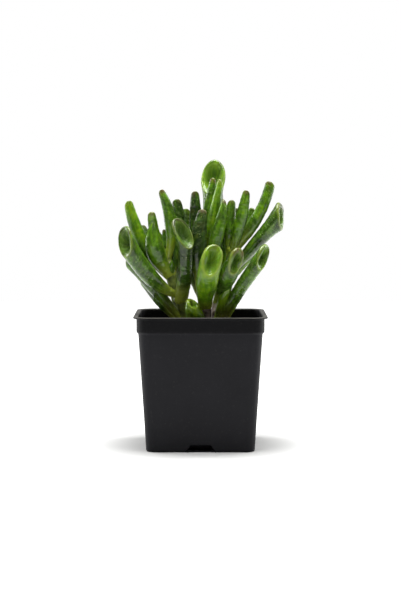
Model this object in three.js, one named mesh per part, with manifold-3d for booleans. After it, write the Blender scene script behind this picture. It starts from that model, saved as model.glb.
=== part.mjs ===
// A trumpet jade in a square plastic nursery pot. Millimetres, +Z up, the pot stands on z = 0,
// +X is the plant's right and -Y its front. Seven solids: pot, soil and five leafy shoots.
import * as THREE from "three";
import { mergeVertices } from "three/addons/utils/BufferGeometryUtils.js";
import Module from "manifold-3d";

const wasm = await Module();
wasm.setup();

// ---------- driving dimensions (mm, degrees) ----------

// The pot: a 9 cm square nursery pot with a stepped collar and a flat lip.
const POT = {
  height: 91, // floor to lip
  baseWide: 73.1, // across the flats at the base
  topWide: 83.3, // across the flats just under the collar
  collarWide: 85.7,
  collarFrom: 80, // where the collar starts
  lipWide: 90,
  lipThick: 1.2,
  wall: 1.2,
  floor: 1.4,
  baseCorner: 6.5, // corner radii
  topCorner: 8.5,
  lipCorner: 11.5,
};

// The drain recess under the middle of each side, open to the outside.
const RECESS = { high: 4.75, topWide: 13.4, baseWide: 19.7, deep: 12, hole: 7 };

// The potting mix: a filled block with a low mound on top.
const SOIL = { base: 6.4, edge: 76, mound: 2, gap: 0.4 };
const STEM_HOLE = { grow: 0.4, from: 61 };

// Shape of every leaf: a fleshy tube that ends in an oblique cup.
const LEAF = {
  thick: 0.86, // thickness as a share of the width
  root: 0.62, // width at the root as a share of the full width
  bodyAt: 0.55, // share of the length where the full width is reached
  flareFrom: 0.42, // share of the length where the trumpet starts to open
  flarePower: 2.6,
  mostCut: 0.48, // the longest mouth, as a share of the leaf
  bowl: 0.28, // depth of the cup as a share of its width
  bowlAt: 0.8, // share of the cup's radius over which it gets deeper
  lipTurn: 125, // how far the rounded lip turns inwards
  heel: 0.7, // roundness of the root end
};

// Stems: x, y, z and radius of points along the middle line.
// Leaves: height of the root on the stem, tip, bow (to the right, back and up), width,
// length and width of the mouth, the way the mouth faces (0 = front, 90 = right), lip radius,
// and where a leaf is not narrowed as usual at its root, that share of the width.
const SHOOTS = {
  left_shoot: [
    {
      stem: [
        [-9.6, -4, 62, 3.7], [-11, -4, 88, 3.5], [-13.2, -4, 100, 3.6],
        [-18.6, -4, 111, 3.7], [-21, -4, 121, 3.4],
      ],
      leaves: [
        [103, [-54.2, -21, 148], [-0.5, -2.5, -7.8], 12.6, 14, 15, -46, 1.3, 0.4],
        [101, [-14, -18, 156.6], [3.6, -6, 0], 10.4, 22, 13.2, 36, 1.1, 1],
        [84.5, [-50.4, -8, 132], [0.5, 0, -1.7], 9.2, 9, 12.4, -120, 1, 0.5],
        [114, [-18, 0, 141], [1, 1, 0], 7, 4, 4, 180, 0.7],
        [117.5, [-32.6, -11, 152.8], [-4, -3, -1.8], 12.8, 4, 4, 180, 0.8],
        [114, [-49.5, -6, 167.4], [-3.4, 0, -4], 9.6, 6, 6.4, 200, 0.8, 0.5],
        [116, [-19.4, -9.5, 127.5], [0, -0.5, 0], 4.4, 1.6, 1.8, 180, 0.5],
        [105, [-14.6, -9, 119.5], [0.4, -0.6, 0], 4.4, 1.6, 1.8, 180, 0.5],
      ],
    },
    {
      stem: [[-20, -4, 119, 3], [-22.5, -3, 127, 2.8], [-24, -2, 134, 2.6]],
      leaves: [
        [128, [-27.2, -4, 175], [4.8, 0, 0], 8.6, 5, 5, 200, 0.7],
        [124, [-33.2, -10, 159.6], [-2.5, 0, 0], 7, 3.4, 5.6, 180, 1.4],
        [124, [-40.8, 8, 150.2], [-2, 2, 0], 8.5, 6, 6, 200, 0.8],
        [126, [-29.5, 6, 146.5], [0, 2, 0], 7, 5, 4, 180, 0.6],
        [127, [-24.7, 2, 148], [0, 1, 0], 5, 4, 3.5, 150, 0.6],
        [128, [-16.8, 8, 168.5], [4, 3, 0], 8.8, 7, 7, 180, 0.9],
        [127, [-10, 16, 161.6], [3, 3, 0], 8.2, 5, 6, 180, 0.8],
      ],
    },
  ],
  centre_shoot: [
    {
      stem: [
        [3.6, -10, 62, 3.4], [3.9, -11, 88, 3], [2.6, -8, 100, 3.4],
        [1, -3, 114, 3], [2, 0, 128, 2.6],
      ],
      leaves: [
        [96.5, [10.2, -30, 137.2], [-1.8, -6, 0], 15.4, 21, 14.2, 5, 2.2, 0.64],
        [84, [-5.4, -22, 101], [-2.6, -2, -2.5], 12.6, 5, 9.4, 50, 1.1],
        [104, [1.5, -8, 161], [-3.4, -3, 0], 11.6, 3, 6.6, 180, 1.4],
        [98, [-10, 4, 146], [-1.5, 2, 0], 10.5, 6, 6, 180, 0.9],
        [114, [-3.8, 8, 174], [-1, 3, 0], 9.2, 6, 6, 180, 0.9],
        [124, [9, 8, 183], [-0.5, 2, 0], 8.5, 6, 5, 160, 0.8],
        [124, [14, 1, 182], [0, -1, 0], 8.5, 6, 5, 120, 0.8],
        [120, [9, 19, 195], [2.2, 5, 0], 12, 26, 17.2, -8, 1.5],
        [114, [16.8, -7, 168.6], [1.5, -3, 0], 10, 5, 4.5, 60, 0.7],
      ],
    },
  ],
  right_shoot: [
    {
      stem: [
        [9, -6, 62, 3.4], [10, -6, 88, 3], [12.4, -3, 101, 3.4],
        [18, 0, 118, 3], [20.5, 0, 132, 2.6], [21, 0, 140, 2.4],
      ],
      leaves: [
        [99, [26.8, -26, 134], [-1.4, -4, 0], 13, 17, 11, 28, 1.8, 0.58],
        [84, [21.6, -14, 120], [0, -2, 0], 8.4, 6, 6, 100, 0.9, 0.5],
        [115, [57.9, 0, 161.7], [-0.4, 0, -0.6], 10.6, 12, 17, 75, 1.7, 0.48],
        [134, [47.9, 2, 180.3], [4.4, 0, -0.8], 8.2, 5, 7, 160, 1, 0.95],
        [126, [31.4, -5, 174.6], [1, -1, 0], 8.3, 5, 5.4, 170, 0.8],
        [128, [36.3, 13, 162.2], [0, 3, 0], 6.5, 5, 5, 160, 0.8],
        [130, [21.6, 3, 167.8], [-1.2, 0, 0], 8.5, 6, 6, 180, 0.8],
        [134, [25.3, 14, 162.4], [0, 3, 0], 5, 4, 4, 180, 0.6],
      ],
    },
    {
      stem: [[9.6, -6, 82, 2.6], [12.5, -6.8, 84.5, 3], [15, -7.6, 88, 3.4]],
      leaves: [
        [86.5, [46.4, -14, 136], [-1.4, -3.5, 0], 10, 15.5, 11, 48, 1.5, 0.95],
      ],
    },
  ],
  back_left_shoot: [
    {
      stem: [[-14, 14, 62, 3.4], [-15, 15, 88, 3], [-17, 17, 102, 3.8], [-18, 20, 118, 3]],
      leaves: [
        [102, [-46, 26, 129], [-0.5, 3, -2.6], 9, 12, 12, 235, 1.1],
        [112, [-34, 34, 146], [-1, 4, 0], 9, 8, 8, 215, 0.9],
        [112, [-19, 42, 157], [-1, 6, 0], 9.5, 14, 12, 190, 1.1],
        [114, [-15, 24, 164], [1, 1, 0], 8, 5, 5, 200, 0.8],
        [84, [-42, 20, 118], [-1, 1, -2.4], 7.5, 8, 9, 250, 0.9],
        [106, [-22, 13, 141], [0, 1, 0], 8, 6, 6, 20, 0.8],
        [100, [-15, 3, 124], [0, -1, 0], 8, 7, 7, 330, 0.8, 0.45],
        [100, [-7.5, 40, 140], [2, 5, 0], 10, 15, 13, 175, 1.2],
      ],
    },
  ],
  back_right_shoot: [
    {
      stem: [[12, 16, 62, 3.4], [13, 17, 88, 3], [15, 19, 104, 3.8], [17, 21, 124, 3]],
      leaves: [
        [90, [42, 28, 127], [0.4, 3, -3], 7.6, 10, 10, 125, 1],
        [106, [50, 20, 153], [1, 2, 0], 8, 8, 8, 110, 0.9],
        [116, [26, 40, 159], [1, 4, 0], 9.5, 14, 12, 165, 1.1],
        [120, [9, 36, 178], [-1, 3, 0], 9.5, 18, 13, 190, 1.1],
        [108, [2, 44, 151], [-3, 5, 0], 9.5, 12, 11, 195, 1.1],
        [120, [35, 27, 154], [0, 1, 0], 7.5, 5, 5, 140, 0.8],
        [112, [17, 13, 155], [1, 0, 0], 7.5, 5, 5, 30, 0.8],
        [96, [19, 43, 129], [0, 5, 0], 10, 14, 12, 160, 1.1],
      ],
    },
  ],
};

// How finely the curved shapes are cut into flats.
const FACETS = { wall: 7, lip: 2, bowl: 2, stem: 10, stemRings: 12, corner: 6 };
const sidesFor = (wide) => (wide >= 9 ? 10 : 8);

// ---------- materials ----------

const paint = (color, roughness) => new THREE.MeshStandardMaterial({ color, roughness, metalness: 0 });
const MATERIALS = {
  pot: () => paint(0x26262a, 0.55), // charcoal moulded plastic
  soil: () => paint(0x3a2c22, 0.95), // dark potting mix
  shoot: () => paint(0x4b7a2b, 0.35), // waxy green leaves
};

// ---------- shared shape tools ----------

const vec = (x, y, z) => new THREE.Vector3(x, y, z);
const rad = THREE.MathUtils.degToRad;
const ease = (x) => THREE.MathUtils.smoothstep(x, 0, 1);

// A closed geometry as a solid that can be joined and cut.
function solid(geometry) {
  geometry.deleteAttribute("normal");
  geometry.deleteAttribute("uv");
  const merged = mergeVertices(geometry, 1e-4);
  return new wasm.Manifold(
    new wasm.Mesh({
      numProp: 3,
      vertProperties: merged.getAttribute("position").array,
      triVerts: new Uint32Array(merged.index.array),
    }),
  );
}

// A closed skin over rings of equally many points, ending in a point at each end.
function ringGeometry(rings, start, end) {
  const n = rings[0].length;
  const points = [...rings.flat(), start, end];
  const first = points.length - 2;
  const faces = [];
  rings.slice(1).forEach((_, r) => {
    for (let i = 0; i < n; i++) {
      const a = r * n + i, b = r * n + ((i + 1) % n);
      faces.push([a, b, b + n], [a, b + n, a + n]);
    }
  });
  const last = (rings.length - 1) * n;
  for (let i = 0; i < n; i++) {
    const next = (i + 1) % n;
    faces.push([next, i, first], [last + i, last + next, first + 1]);
  }
  const volume = faces.reduce((v, [a, b, c]) => v + points[a].dot(points[b].clone().cross(points[c])), 0);
  if (volume < 0) faces.forEach((face) => face.reverse());
  return new THREE.BufferGeometry().setFromPoints(points).setIndex(faces.flat());
}

const joined = (solids) => solids.reduce((a, b) => a.add(b));

// A ring round a square with rounded corners, at height z.
function squareRing(wide, corner, z) {
  const flat = wide / 2 - corner;
  const ring = [];
  for (let k = 0; k < 4; k++)
    for (let i = 0; i <= FACETS.corner; i++) {
      const turn = (k + i / FACETS.corner) * (Math.PI / 2);
      const middle = (k + 0.5) * (Math.PI / 2);
      ring.push(
        vec(
          Math.sign(Math.cos(middle)) * flat + corner * Math.cos(turn),
          Math.sign(Math.sin(middle)) * flat + corner * Math.sin(turn),
          z,
        ),
      );
    }
  return ring;
}

// Rows of [height, width, corner radius] as one solid, flat at both ends.
function squareStack(rows) {
  const rings = rows.map(([z, wide, corner]) => squareRing(wide, corner, z));
  return solid(ringGeometry(rings, vec(0, 0, rows[0][0]), vec(0, 0, rows.at(-1)[0])));
}

// ---------- the pot ----------

const potWide = (z) => POT.baseWide + ((POT.topWide - POT.baseWide) * z) / POT.collarFrom;
const potCorner = (z) => POT.baseCorner + ((POT.topCorner - POT.baseCorner) * z) / POT.collarFrom;

// The drain recess on the right side, grown by a wall for the floor that steps over it.
function recess(grow) {
  const edge = POT.baseWide / 2, top = RECESS.high + grow;
  const inner = edge - RECESS.deep - grow;
  const outline = (z, wide) => {
    const half = wide / 2 + grow;
    return [vec(inner, -half, z), vec(edge + 6, -half, z), vec(edge + 6, half, z), vec(inner, half, z)];
  };
  const rings = [outline(-1, RECESS.baseWide + 1), outline(0, RECESS.baseWide), outline(top, RECESS.topWide)];
  return ringGeometry(rings, vec(edge - 3, 0, -1), vec(edge - 3, 0, top));
}

// The drain hole through the roof of that recess.
function drain() {
  const hole = new THREE.CylinderGeometry(RECESS.hole / 2, RECESS.hole / 2, 10, 16);
  return hole.rotateX(Math.PI / 2).translate(POT.baseWide / 2 - RECESS.deep / 2 - 1, 0, 6);
}

// Four copies of a shape, one to each side of the pot.
const onFourSides = (shape) => joined([0, 1, 2, 3].map((k) => solid(shape().rotateZ((k * Math.PI) / 2))));

function makePot() {
  const { height, wall, floor, collarFrom, collarWide, lipWide, lipThick, lipCorner, topWide } = POT;
  const outside = squareStack([
    [0, POT.baseWide, POT.baseCorner],
    [collarFrom - 0.6, topWide, POT.topCorner],
    [collarFrom + 0.9, collarWide, POT.topCorner + 1],
    [height - lipThick, collarWide, POT.topCorner + 1],
    [height - lipThick, lipWide, lipCorner],
    [height, lipWide, lipCorner],
  ]);
  const step = collarFrom + wall;
  const inside = squareStack([
    [floor, potWide(floor) - 2 * wall, potCorner(floor) - wall],
    [step, topWide - 2 * wall, POT.topCorner - wall],
    [step, collarWide - 2 * wall, POT.topCorner],
    [height - 0.6, collarWide - 2 * wall, POT.topCorner],
    [height + 1, collarWide - 2 * wall + 3.2, POT.topCorner + 1.6],
  ]);
  const raised = onFourSides(() => recess(wall));
  return outside
    .subtract(inside.subtract(raised))
    .subtract(onFourSides(() => recess(0)))
    .subtract(onFourSides(drain));
}

// ---------- stems and leaves ----------

const middleLine = (rows) =>
  new THREE.CatmullRomCurve3(rows.map(([x, y, z]) => vec(x, y, z)), false, "catmullrom", 0.5);

// A round stem along its rows, its radius grown for the hole it stands in.
function stemSolid(rows, grow = 0) {
  const line = middleLine(rows);
  const rings = [];
  for (let k = 0; k <= FACETS.stemRings; k++) {
    const share = k / FACETS.stemRings;
    const span = share * (rows.length - 1), below = Math.min(Math.floor(span), rows.length - 2);
    const radius = grow + THREE.MathUtils.lerp(rows[below][3], rows[below + 1][3], span - below);
    const middle = line.getPoint(share), along = line.getTangent(share);
    const side = along.clone().cross(vec(0, 1, 0)).normalize(), back = side.clone().cross(along);
    const turns = Array.from({ length: FACETS.stem }, (_, i) => (i / FACETS.stem) * 2 * Math.PI);
    rings.push(
      turns.map((turn) =>
        middle
          .clone()
          .addScaledVector(side, radius * Math.cos(turn))
          .addScaledVector(back, radius * Math.sin(turn)),
      ),
    );
  }
  const top = vec(...rows.at(-1)).add(vec(0, 0, rows.at(-1)[3] * 0.5));
  return solid(ringGeometry(rings, vec(...rows[0]), top));
}

// The point in the middle of a stem at height z.
function stemPoint(rows, z) {
  const line = middleLine(rows);
  let low = 0, high = 1;
  for (let i = 0; i < 24; i++) {
    const share = (low + high) / 2;
    if (line.getPoint(share).z < z) low = share;
    else high = share;
  }
  return line.getPoint(low);
}

// One leaf: a bowed tube that widens, opens like a trumpet and ends in a cup cut at a slant.
function leafSolid(root, [, tip, bow, wide, mouthLong, mouthWide, facing, lip, narrowed = LEAF.root]) {
  const end = vec(...tip);
  const middle = root.clone().add(end).multiplyScalar(0.5).add(vec(2 * bow[0], 2 * bow[1], 2 * bow[2]));
  const line = new THREE.QuadraticBezierCurve3(root, middle, end);
  const cut = Math.min(mouthLong / line.getLength(), LEAF.mostCut);
  const front = vec(Math.sin(rad(facing)), -Math.cos(rad(facing)), 0);
  const n = sidesFor(wide);
  const turns = Array.from({ length: n }, (_, i) => (i / n) * 2 * Math.PI);

  // Directions across the leaf at share t of its line: along, to the mouth's side, sideways.
  const frame = (t) => {
    const along = line.getTangent(Math.min(t, 1));
    const up = front.clone().addScaledVector(along, -along.dot(front)).normalize();
    return [along, up, along.clone().cross(up)];
  };
  const onWall = (share, turn) => {
    const t = share - ((cut * (1 + Math.cos(turn))) / 2) * share * share;
    const [, up, side] = frame(t);
    const body = (wide / 2) * (narrowed + (1 - narrowed) * ease(t / LEAF.bodyAt));
    const open = Math.max((share - LEAF.flareFrom) / (1 - LEAF.flareFrom), 0) ** LEAF.flarePower;
    const half = body * (1 - open) + (mouthWide / 2) * open;
    return line
      .getPoint(t)
      .addScaledVector(up, half * LEAF.thick * Math.cos(turn))
      .addScaledVector(side, half * Math.sin(turn));
  };
  const rings = [];

  // the rounded heel at the root
  const [along, up, side] = frame(0);
  const heel = (wide / 2) * narrowed;
  const heelTurn = rad(55);
  rings.push(
    turns.map((turn) =>
      root
        .clone()
        .addScaledVector(along, -heel * LEAF.heel * Math.sin(heelTurn))
        .addScaledVector(up, heel * Math.cos(heelTurn) * LEAF.thick * Math.cos(turn))
        .addScaledVector(side, heel * Math.cos(heelTurn) * Math.sin(turn)),
    ),
  );

  // the wall
  for (let k = 0; k < FACETS.wall; k++) {
    const share = k / (FACETS.wall - 1);
    rings.push(turns.map((turn) => onWall(share, turn)));
  }
  const rim = rings.at(-1);

  // the mouth's middle and its outward direction
  const centre = rim.reduce((a, p) => a.add(p), vec(0, 0, 0)).divideScalar(n);
  const out = vec(0, 0, 0);
  rim.forEach((p, i) => out.add(p.clone().sub(centre).cross(rim[(i + 1) % n].clone().sub(centre))));
  out.normalize();
  if (out.dot(frame(1)[0]) < 0) out.negate();

  // the rounded lip, from the slope of the wall over and into the cup
  const small = 1e-3;
  const turnIn = rad(LEAF.lipTurn);
  const lips = rim.map((p, i) => {
    const spoke = p.clone().sub(centre);
    spoke.addScaledVector(out, -spoke.dot(out)).normalize();
    const round = onWall(1, turns[i] + small).sub(onWall(1, turns[i] - small));
    const rise = onWall(1 + small, turns[i]).sub(onWall(1 - small, turns[i]));
    const normal = round.cross(rise).normalize();
    if (normal.dot(spoke) < 0) normal.negate();
    const from = Math.min(Math.atan2(normal.dot(out), normal.dot(spoke)), turnIn - 0.2);
    const at = (angle, way) =>
      way.addScaledVector(spoke, lip * Math.cos(angle)).addScaledVector(out, lip * Math.sin(angle));
    const hub = p.clone().sub(at(from, vec(0, 0, 0)));
    return (share) => at(from + (turnIn - from) * share, hub.clone());
  });
  for (let k = 1; k <= FACETS.lip; k++) rings.push(lips.map((lipAt) => lipAt(k / FACETS.lip)));

  // the cup
  const edge = rings.at(-1);
  const floorMiddle = edge.reduce((a, p) => a.add(p), vec(0, 0, 0)).divideScalar(n);
  const depth = LEAF.bowl * mouthWide;
  for (let k = 1; k < FACETS.bowl; k++) {
    const q = 1 - k / FACETS.bowl;
    rings.push(edge.map((p) => p.clone().lerp(floorMiddle, 1 - q).addScaledVector(out, -depth * ease((1 - q) / LEAF.bowlAt))));
  }
  const start = root.clone().addScaledVector(along, -heel * LEAF.heel);
  return solid(ringGeometry(rings, start, floorMiddle.clone().addScaledVector(out, -depth)));
}

// A shoot: its stems and all their leaves as one solid.
function makeShoot(branches) {
  return joined(
    branches.flatMap(({ stem, leaves }) => [
      stemSolid(stem),
      ...leaves.map((row) => leafSolid(stemPoint(stem, row[0]), row)),
    ]),
  );
}

// ---------- the soil ----------

function makeSoil(shoots) {
  const { base, edge, mound, gap } = SOIL;
  const clear = 2 * (POT.wall + gap);
  const rows = [
    [base, potWide(base) - clear, potCorner(base) - POT.wall],
    [edge, potWide(edge) - clear, potCorner(edge) - POT.wall],
  ];
  for (const share of [0.88, 0.68, 0.45, 0.22]) {
    const wide = (potWide(edge) - clear) * share;
    rows.push([edge + mound * (1 - share * share), wide, wide * (0.1 + 0.35 * (1 - share))]);
  }
  const rings = rows.map(([z, wide, corner], k) =>
    squareRing(wide, corner, z).map((p, i) => (k < 2 ? p : p.setZ(z + 0.35 * Math.sin(2.1 * i + 1.7 * k)))),
  );
  const block = solid(ringGeometry(rings, vec(0, 0, base), vec(0, 0, edge + mound)));
  const holes = shoots.map(([{ stem }]) => {
    const [x, y, , r] = stem[0];
    return stemSolid([[x, y, STEM_HOLE.from, r], ...stem.slice(1, 3)], STEM_HOLE.grow);
  });
  return block.subtract(joined(holes));
}

// ---------- the named meshes ----------

function named(name, solid, material) {
  const mesh = solid.getMesh();
  const geometry = new THREE.BufferGeometry();
  geometry.setAttribute("position", new THREE.BufferAttribute(mesh.vertProperties, 3));
  geometry.setIndex(new THREE.BufferAttribute(mesh.triVerts, 1));
  geometry.computeVertexNormals();
  const made = new THREE.Mesh(geometry, material);
  made.name = name;
  return made;
}

const plant = new THREE.Group();
plant.name = "trumpet_jade_in_pot";
plant.add(named("pot", makePot(), MATERIALS.pot()));
plant.add(named("soil", makeSoil(Object.values(SHOOTS)), MATERIALS.soil()));
for (const [name, branches] of Object.entries(SHOOTS)) plant.add(named(name, makeShoot(branches), MATERIALS.shoot()));

export default plant;
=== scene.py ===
"""Trumpet jade in a square nursery pot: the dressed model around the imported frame.

Lengths in the rows and profiles are millimetres; put_mesh turns them to metres.
+Z is up, +X is the plant's right and -Y its front, as in the frame.
"""
import math
from functools import partial

import bpy
import numpy as np
from bpy.props import FloatProperty, FloatVectorProperty, IntProperty, PointerProperty
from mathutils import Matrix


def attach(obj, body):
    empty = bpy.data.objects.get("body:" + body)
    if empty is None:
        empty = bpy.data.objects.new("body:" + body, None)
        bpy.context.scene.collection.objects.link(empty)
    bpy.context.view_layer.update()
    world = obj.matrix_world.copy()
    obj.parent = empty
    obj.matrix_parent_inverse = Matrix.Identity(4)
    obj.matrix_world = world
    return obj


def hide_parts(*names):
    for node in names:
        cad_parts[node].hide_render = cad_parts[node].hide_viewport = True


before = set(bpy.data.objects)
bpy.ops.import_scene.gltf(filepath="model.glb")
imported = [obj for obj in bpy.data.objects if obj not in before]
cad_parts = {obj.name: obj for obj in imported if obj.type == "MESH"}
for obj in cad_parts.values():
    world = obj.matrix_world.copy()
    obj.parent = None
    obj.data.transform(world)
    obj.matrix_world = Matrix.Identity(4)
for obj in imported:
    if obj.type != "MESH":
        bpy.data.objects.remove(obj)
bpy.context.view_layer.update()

bl_info = {
    "name": "Potted Trumpet Jade",
    "version": (1, 0, 0),
    "blender": (4, 5, 0),
    "location": "3D View > Sidebar > Trumpet Jade",
    "description": "Builds a trumpet jade with cupped tubular leaves in a square nursery pot",
    "category": "Add Mesh",
}

MM = 0.001
WHITE = (1, 1, 1, 1)

# ---- the pot and its mix

POT_SLOPE = 5.1 / 80  # how much the wall leans out for each millimetre of height
# The notches in the foot, in mm: height, half width at the base and at the ceiling, depth, and the
# radius of the drain hole and how far in its middle is.
NOTCH = {"high": 4.75, "half_base": 9.85, "half_top": 6.7, "deep": 11.8, "hole": 3.5, "hole_in": 7.0}
NOTCH_RISE = 14.0  # the wall's rings are back on their own level at this height
FOOT_TOP = 0.9  # the foot's rounding ends here
KEEP = 11.5  # samples this near the middle of a side stay there, for the notches
# the collar's darker colour is painted shade
COLLAR_FROM, LIP_FROM = 80.4, 90.3  # where the collar's and the lip's colours start
# The mix, in mm: level at the wall, rise to the middle, half width, height, wavelengths and number of its
# lumps, depth, start and width of its dip at the wall, and its hidden floor.
MIX = {
    "level": 76.0, "mound": 2.0, "half": 38.0, "lumps": 0.9, "sizes": (14, 2.2), "waves": 60,
    "dip": 0.8, "dip_from": 33.0, "dip_wide": 5, "floor": 7.0,
}
BEAD = 1.0  # the grain value of perlite; bark and peat have the others
# Crumbs: grain values and how often each comes, sizes in mm, shares that stretch the three axes and push
# the points in and out, tilt in radians, and how far from the middle and over the mix they lie, in mm.
CRUMB = {
    "grains": (0.1, 0.45, 0.7, BEAD), "shares": (0.35, 0.3, 0.27, 0.08), "bead": (0.6, 1.2), "chip": (0.7, 1.9),
    "stretch": ((0.9, 1.9), (0.6, 1.1), (0.35, 0.8)), "ragged": (0.8, 1.2), "tilt": 0.5, "reach": 34.5,
    "rise": (-0.3, 0.9),
}

# The pot's profile, from the foot up the outside, over the lip and down the inside to the hidden floor:
# half width, height, plan corner radius and edge rounding.
POT_PROFILE = [
    (36.55, 0.0, 6.5, 1.0),
    (41.65, 79.4, 8.5, 0.5),
    (42.85, 80.9, 9.5, 0.7),
    (42.85, 89.8, 9.5, 0.7),
    (45.0, 89.8, 11.5, 0.45),
    (45.0, 91.0, 11.5, 0.45),
    (42.2, 91.0, 8.9, 0.5),
    (41.65, 90.2, 8.5, 0.3),
    (41.65, 81.2, 8.5, 0.3),
    (40.45, 81.2, 7.3, 0.3),
    (35.75, 6.3, 5.3, 0.5),
]

# ---- the plant

# Leaves: thickness and root width as shares of the width, how far along the body is full and the flare
# starts, the flare's power, the longest mouth as a share of the leaf, the bowl's depth and how far in it
# deepens, the lip's turn in degrees, the root end's roundness, the power that spaces the rings, and how
# far along the unevenness is full.
LEAF = {
    "thick": 0.86, "root": 0.62, "body_at": 0.55, "flare_from": 0.42, "flare_power": 2.6,
    "most_cut": 0.48, "bowl": 0.28, "bowl_at": 0.8, "lip_turn": 125.0, "heel": 0.7,
    "ring_power": 1.25, "even_root": 0.2,
}
HEEL_TURNS = [75, 55, 35, 18]  # degrees, the rings of the rounded root end
LIP_RINGS, LIP_CREST, BOWL_RINGS = 9, 3, 13  # the crest is the lip ring that stands highest
RING_COUNT = (24, 110)  # fewest and most rings on a leaf's wall
# A leaf is uneven by these shares of its width: the share, waves round it, radians along it.
UNEVEN = ((0.014, 2, 5), (0.011, 3, -7), (0.014, 0, 11), (0.007, 1, 17))
LIP_UNEVEN = ((0.08, 2, 4), (0.05, 5, 0))  # share of the lip radius, waves round it, which seeded phase
# Creases: length round the leaf as a share of its width, wavelengths and depth in mm, number of waves,
# and where they fade, as a share of the length from the root and in mm from the tip.
CREASE = {"round": 0.12, "sizes": (4, 1.5), "deep": 0.14, "waves": 26, "root_fade": 0.15, "tip_fade": 4}
OPEN_MOUTH = 8  # a mouth longer than this shows its bowl, and a shorter one is a closed tip
RIM = {"wide": 0.25, "strength": 0.3, "most": 0.6}  # least width in mm, strength for each mm of lip
BROWN = {"open": 7, "closed": 1}  # mm from the tip at which an open and a closed leaf stop being brown
SKIN_SHIFT = 61  # mm; each leaf's skin pattern is moved along by a seeded 1 to 9 times this
# Leaf scars on a stem, in mm, and the radius at which its skin is measured.
SCAR = {"apart": 6.5, "high": 0.15, "wide": 0.8, "lean": 0.5}
STEM_SKIN = 3
STEM_BARK = {"sizes": (7, 1.6), "waves": 14, "deep": 0.05}
CORKED = 0.45  # the share of a stem that has corked over, unless its own row says another

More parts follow.
